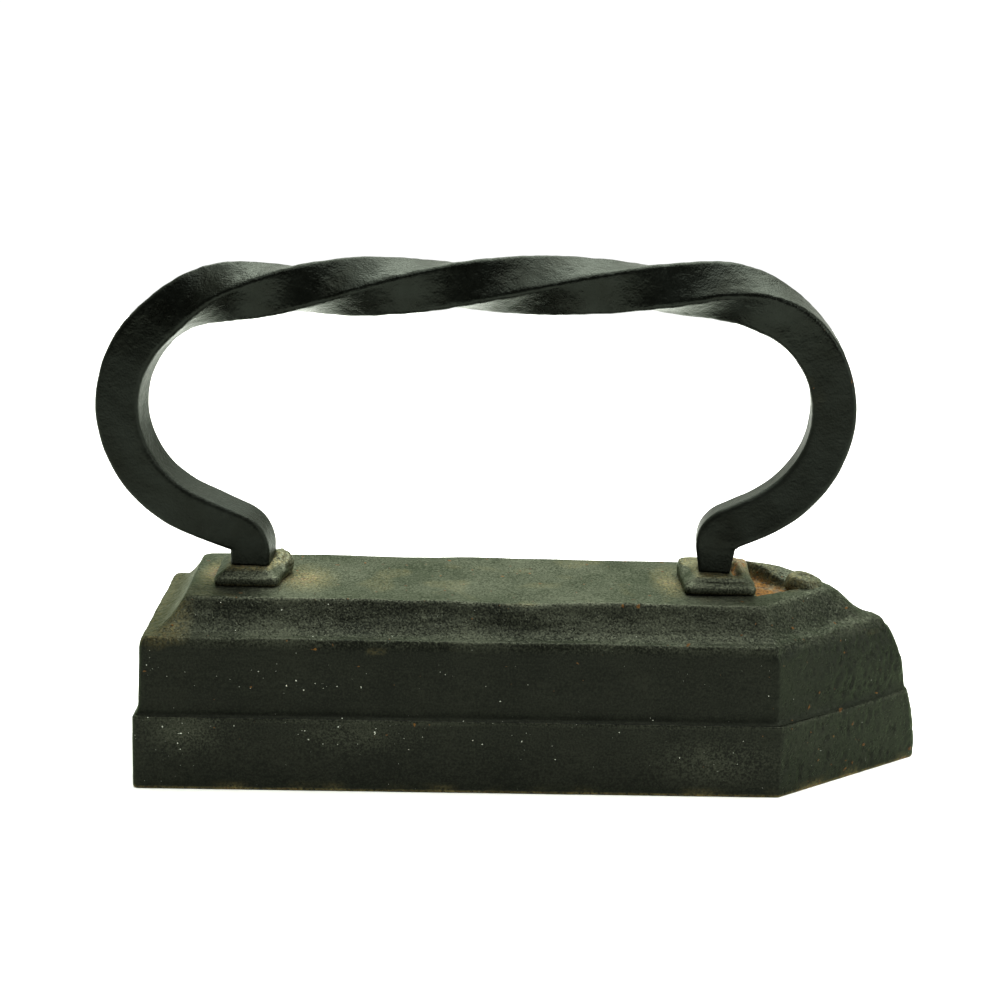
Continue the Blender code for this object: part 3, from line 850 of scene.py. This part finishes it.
    def section(self, edge):
        """The bar's section with side 1: straight sides, slightly hollow, and rounded edges."""
        points = []
        for corner in range(4):
            turn = Matrix.Rotation(math.pi / 2 * corner, 2)
            for bend in np.linspace(0, math.pi / 2, 6):
                x, y = 0.5 - edge + edge * math.cos(bend), 0.5 - edge + edge * math.sin(bend)
                points.append(turn @ Vector((x, y)))
            for share in np.linspace(0, 1, 13)[1:-1]:
                sag = 0.006 * (1 - (2 * share - 1) ** 2)
                points.append(turn @ Vector(((0.5 - edge) * (1 - 2 * share), 0.5 - sag)))
        return np.array([tuple(p) for p in points])

    def tenon(self):
        """Radius and height down the round tenon, from its riveted end up."""
        low = bar_low.z
        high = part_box("rear_collar")[1].z - 0.1 * MM
        shank, head = 3.5 * MM, 5.2 * MM
        return [
            (0.0, low), (4.0 * MM, low), (head, low + 0.8 * MM), (head, low + 1.8 * MM),
            (shank, low + 1.8 * MM), (shank, low + 10 * MM), (shank, high),
        ]

    def tenon_ring(self, circle, x, side, radius, z):
        # At a foot the bar heads straight up or down, so across is +Y and up is -X or +X.
        spots = [x - circle[:, 1] * radius * side, circle[:, 0] * radius, np.full(len(circle), z)]
        return np.column_stack(spots)


class SADIRON_OT_collars(bpy.types.Operator):
    """Make the two collars under the feet of the handle"""

    bl_idname = "sad_iron.collars"
    bl_label = "Collars"

    corner_radius = 1.8 * MM

    def block(self, name, slope_in, slope_from, far_rise):
        """A rounded block: a short upright side, then a slope up to the foot.

        Its far side climbs `far_rise` times as fast as its near side.
        """
        low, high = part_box(name)
        centre = np.array(((low.x + high.x) / 2, (low.y + high.y) / 2))
        half_x, half_y, height = (high.x - low.x) / 2, (high.y - low.y) / 2, high.z - low.z
        signs = ((1, 1), (-1, 1), (-1, -1), (1, -1))
        corners = [(x * half_x, y * half_y, self.corner_radius, 31) for x, y in signs]
        outline = rounded_outline(corners)
        # Each ring's share of the way in to the middle, and its share of the height.
        profile = [(1.0, 0.0), (0.5, 0.0), (0.08, 0.0), (0.01, 0.0), (0.0, 0.1), (0.0, 0.25)]
        profile += [(0.0, slope_from - 0.1), (0.012, slope_from), (0.03, slope_from + 0.07)]
        for share in np.linspace(0, 1, 14)[1:]:
            rise = slope_from + 0.07 + (0.93 - slope_from) * share * (1.3 - 0.3 * share)
            profile.append((0.03 + (slope_in - 0.03) * share, rise))
        profile += [(slope_in + (1 - slope_in) * share, 1.0) for share in np.linspace(0, 1, 13)[1:]]
        far = ramp(outline[:, 1], -0.1 * half_y, 0.8 * half_y)
        rings = []
        for share, rise in profile:
            lifted = rise + (min(1.0, rise * far_rise) - rise) * far
            rings.append(np.column_stack([centre + outline * (1 - share), low.z + height * lifted]))
        return skin(rings), low.z, high.z

    def make_rear(self, surface):
        mesh, low, high = self.block("rear_collar", 0.42, 0.45, 1.0)
        points, normals = read(mesh)
        up = ramp(points[:, 2], low, low + 1.5 * MM)
        # A rough run of metal stands against the foot on its front far side.
        run = mound(points, (*mm(-66.5, 3.5), low + 3 * MM), mm(4, 6, 6))
        points[:, 0] += 2.8 * MM * run
        points[:, 2] += 2.3 * MM * mound(points, (*mm(-66, 4.5), high), mm(3.2, 4.5, 3)) * up
        pit = mound(points, (*mm(-64.6, 1.0), low + 2 * MM), mm(0.9, 1.2, 1.0))
        shift = bumps(points, 3.0 * MM, 32) * 0.12 * MM
        shift += bumps(points, mm(1.3, 2.2, 1.6), 31) * 0.6 * MM * run - 1.0 * MM * pit
        points += normals * (shift * up)[:, None]
        move_points(mesh, points)
        foot_line = ramp(-points[:, 2], -low - 0.9 * MM, -low)
        top_line = ramp(points[:, 2], high - 1.0 * MM, high)
        rust = 0.06 + 0.20 * foot_line + 0.24 * top_line * (1 - run) + 0.10 * run
        paint(mesh, rust=rust, dots=0.2, flecks=0.1, dust=0.36 + 0.3 * run, grain=0.6 + 0.4 * run)
        piece("rusted_rear_collar", mesh, surface, "collar_iron", "rear_collar")

    def make_front(self, surface):
        mesh, low, high = self.block("front_collar", 0.40, 0.42, 1.9)
        points, normals = read(mesh)
        x, y, z = points.T.copy()
        up = ramp(z, low, low + 1.5 * MM)
        # A bead runs along its near side, under a shallow groove.
        groove = np.exp(-(((y + 7.6 * MM) / (0.55 * MM)) ** 2))
        # A ridge crosses its front end, with a deep pit between it and the foot.
        crest = np.exp(-(((x + 0.18 * y - 51.6 * MM) / (1.1 * MM)) ** 2))
        crest *= ramp(-np.abs(y), -9.6 * MM, -7 * MM) * ramp(y, -9 * MM, 3 * MM)
        pit = np.exp(-(((x - 49.4 * MM) / (0.9 * MM)) ** 2))
        pit *= ramp(-np.abs(y + 0.5 * MM), -5.2 * MM, -3.6 * MM)
        points[:, 2] += (0.9 * crest - 0.55 * groove - 2.0 * pit) * MM * up
        shift = bumps(points, 2.6 * MM, 33) * 0.14 * MM + bumps(points, 1.3 * MM, 34) * 0.08 * MM
        points += normals * (shift * up)[:, None]
        move_points(mesh, points)
        foot_line = ramp(-points[:, 2], -low - 0.9 * MM, -low)
        top_line = ramp(points[:, 2], high - 0.8 * MM, high)
        far_front = ramp(points[:, 0] + points[:, 1] * 0.3, 50 * MM, 53 * MM)
        rust = 0.06 + 0.12 * foot_line + 0.6 * pit + 0.22 * far_front + 0.2 * top_line
        paint(mesh, rust=rust, dots=0.25, flecks=0.1, dust=0.4, grain=0.7)
        piece("rusted_front_collar", mesh, surface, "collar_iron", "front_collar")

    def execute(self, context):
        finish = context.scene.sad_iron_finish
        surface = blackened_cast_iron("rusted_collar_iron", finish, 0.5)
        self.make_rear(surface)
        self.make_front(surface)
        return {"FINISHED"}


class SADIRON_OT_nose_stud(bpy.types.Operator):
    """Make the riveted stud on the nose"""

    bl_idname = "sad_iron.nose_stud"
    bl_label = "Nose stud"

    shank = 2.5 * MM
    # The head's profile from its skirt to its dimple: shares of its radius and of its height.
    head = (
        (1.14, 0.0), (1.1, 0.3), (1.03, 0.58), (0.92, 0.84), (0.74, 0.97), (0.6, 1.0),
        (0.5, 0.95), (0.4, 0.8), (0.28, 0.72), (0.12, 0.7), (0.0, 0.7),
    )

    def make_mesh(self, x, y, radius, low, seat, rise):
        shank = self.shank
        profile = [(0, low), (shank * 0.9, low), (shank, low + 0.4 * MM), (shank, seat - 1 * MM)]
        profile.append((radius * 1.16, seat - 0.6 * MM))
        profile += [(radius * across, seat + rise * up) for across, up in self.head]
        turns = np.linspace(0, 2 * math.pi, 72, endpoint=False)
        circle = np.column_stack([np.cos(turns), np.sin(turns)])
        mesh = skin([level(circle * r + (x, y), z) for r, z in profile])
        bm = bmesh.new()
        bm.from_mesh(mesh)
        bmesh.ops.subdivide_edges(bm, edges=bm.edges, cuts=1, use_grid_fill=True, smooth=0.6)
        bm.to_mesh(mesh)
        bm.free()
        mesh.shade_smooth()
        return mesh

    def execute(self, context):
        low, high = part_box("nose_stud")
        x, y = (low.x + high.x) / 2, (low.y + high.y) / 2
        radius, seat = (high.x - low.x) / 2, body_high.z
        mesh = self.make_mesh(x, y, radius, low.z, seat, high.z - seat)
        points, normals = read(mesh)
        head = ramp(points[:, 2], seat, seat + 0.6 * MM)
        points += normals * (bumps(points, 2.2 * MM, 41) * 0.16 * MM * head)[:, None]
        # It was hammered lower towards the nose.
        points[:, 2] -= head * ramp(points[:, 0], x - 2 * MM, x + radius) * 1.1 * MM
        move_points(mesh, points)
        rust = 0.16 + 0.12 * ramp(-points[:, 0], -x, -x + radius)
        paint(mesh, rust=rust, dots=0.3, flecks=0.0, dust=0.4, grain=0.7)
        iron = blackened_cast_iron("riveted_stud_iron", context.scene.sad_iron_finish, 0.5)
        piece("riveted_nose_stud", mesh, iron, "body_iron", "nose_stud")
        return {"FINISHED"}


class SADIRON_OT_fixings(bpy.types.Operator):
    """Give the hidden washers and dowels their plain steel"""

    bl_idname = "sad_iron.fixings"
    bl_label = "Hidden fixings"

    names = ("rear_tenon_washer", "front_tenon_washer", "near_heel_dowel", "far_heel_dowel")

    def execute(self, context):
        steel = turned_mild_steel("turned_mild_steel", context.scene.sad_iron_finish)
        for name in self.names:
            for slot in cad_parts[name].material_slots:
                slot.material = steel
        return {"FINISHED"}


class SADIRON_OT_stage(bpy.types.Operator):
    """Set the floor, the studio light and the camera"""

    bl_idname = "sad_iron.stage"
    bl_label = "Stage"

    floor_radius = 0.72
    # Each softbox's place, aim, size and watts.
    softboxes = {
        "back_softbox": ((0.12, 0.42, 0.80), (0, 0, 0.04), (1.1, 0.6), 18.0),
        "front_softbox": ((0.08, -0.10, 0.85), (0, 0, 0.04), (0.9, 0.5), 7.0),
        "nose_softbox": ((0.75, -0.30, 0.30), (0.07, 0, 0.03), (0.4, 0.4), 4.0),
    }
    # The room's brightness in front and behind, and how much more there is overhead.
    room_front, room_behind, room_above = 0.22, 1.2, 1.15

    def execute(self, context):
        scene = context.scene
        stage = scene.sad_iron_stage
        scene.view_settings.view_transform = "Standard"
        self.make_floor(stage)
        self.make_world(scene)
        for name, softbox in self.softboxes.items():
            self.make_light(name, *softbox)
        self.make_camera(scene, stage)
        return {"FINISHED"}

    def make_floor(self, stage):
        bm = bmesh.new()
        bmesh.ops.create_circle(bm, cap_ends=True, segments=96, radius=self.floor_radius)
        mesh = bpy.data.meshes.new("paper_sweep")
        bm.to_mesh(mesh)
        bm.free()
        mesh.materials.append(white_paper("white_paper_sweep", stage))
        floor = bpy.data.objects.new("paper_sweep", mesh)
        floor.location.z = cad_box[0][2]
        bpy.context.scene.collection.objects.link(floor)

    def make_world(self, scene):
        """A bright room behind, above and beside the iron, and a dark one in front."""
        world = bpy.data.worlds.new("studio_room")
        scene.world = world
        world.use_nodes = True
        add = partial(node, world.node_tree)
        room = world.node_tree.nodes["Background"]
        parts = add("SeparateXYZ", [add("TexCoord", output="Generated")]).node.outputs
        back = [parts["Y"], -0.75, 0.1, self.room_front, self.room_behind]
        back = add("MapRange", back, interpolation_type="SMOOTHSTEP")
        high = add("MapRange", [parts["Z"], 0.0, 1.0, 1.0, self.room_above])
        strength = add("Math", [back, high], operation="MULTIPLY")
        feed(room, {"Strength": strength, "Color": linear("#f8fbf0")})
        plain_white = add("Background", {"Color": (1, 1, 1), "Strength": 1.05})
        direct = add("LightPath", output="Is Camera Ray")
        both = add("MixShader", [direct, room.outputs[0], plain_white])
        feed(world.node_tree.nodes["World Output"], {"Surface": both})

    def make_light(self, name, place, aim, size, watts):
        data = bpy.data.lights.new(name, "AREA")
        data.shape = "RECTANGLE"
        data.size, data.size_y = size
        data.energy = watts
        made = bpy.data.objects.new(name, data)
        made.location = place
        made.rotation_euler = (Vector(place) - Vector(aim)).to_track_quat("Z", "Y").to_euler()
        bpy.context.scene.collection.objects.link(made)

    def make_camera(self, scene, stage):
        tilt, turn, roll = stage.elevation, stage.azimuth, stage.roll
        level_back = Vector((math.sin(turn), -math.cos(turn), 0)) * math.cos(tilt)
        back = level_back + Vector((0, 0, math.sin(tilt)))
        right = Vector((math.cos(turn), math.sin(turn), 0))
        up = back.cross(right)
        across = math.cos(roll) * right + math.sin(roll) * up
        upright = -math.sin(roll) * right + math.cos(roll) * up
        place = Vector((stage.aim_x, 0, stage.aim_z)) + back * stage.distance
        data = bpy.data.cameras.new("camera")
        data.lens = stage.lens
        data.sensor_width = 36
        data.clip_start = 0.01
        camera = bpy.data.objects.new("camera", data)
        turned = Matrix((across, upright, back)).transposed().to_4x4()
        camera.matrix_world = Matrix.Translation(place) @ turned
        scene.collection.objects.link(camera)
        scene.camera = camera


class SADIRON_PT_panel(bpy.types.Panel):
    """The pieces of the sad iron, in the order they are made"""

    bl_idname = "SADIRON_PT_panel"
    bl_label = "Sad Iron"
    bl_space_type = "VIEW_3D"
    bl_region_type = "UI"
    bl_category = "Sad Iron"

    def draw(self, context):
        column = self.layout.column()
        for made in OPERATORS:
            column.operator(made.bl_idname)
        for name in SETTINGS:
            group = getattr(context.scene, name)
            box = self.layout.box()
            for setting in group.__annotations__:
                box.prop(group, setting)


SETTINGS = {
    "sad_iron_body": SadIronBody,
    "sad_iron_handle": SadIronHandle,
    "sad_iron_finish": SadIronFinish,
    "sad_iron_stage": SadIronStage,
}
OPERATORS = (
    SADIRON_OT_sole_plate,
    SADIRON_OT_upper_body,
    SADIRON_OT_handle,
    SADIRON_OT_collars,
    SADIRON_OT_nose_stud,
    SADIRON_OT_fixings,
    SADIRON_OT_stage,
)


def register():
    for made in (*SETTINGS.values(), *OPERATORS, SADIRON_PT_panel):
        bpy.utils.register_class(made)
    for name, group in SETTINGS.items():
        setattr(bpy.types.Scene, name, bpy.props.PointerProperty(type=group))


def unregister():
    for name in SETTINGS:
        delattr(bpy.types.Scene, name)
    for made in reversed((*SETTINGS.values(), *OPERATORS, SADIRON_PT_panel)):
        bpy.utils.unregister_class(made)


def main():
    register()
    bpy.ops.sad_iron.sole_plate()
    bpy.ops.sad_iron.upper_body()
    bpy.ops.sad_iron.handle()
    bpy.ops.sad_iron.collars()
    bpy.ops.sad_iron.nose_stud()
    bpy.ops.sad_iron.fixings()
    bpy.ops.sad_iron.stage()


if __name__ == "__main__":
    main()
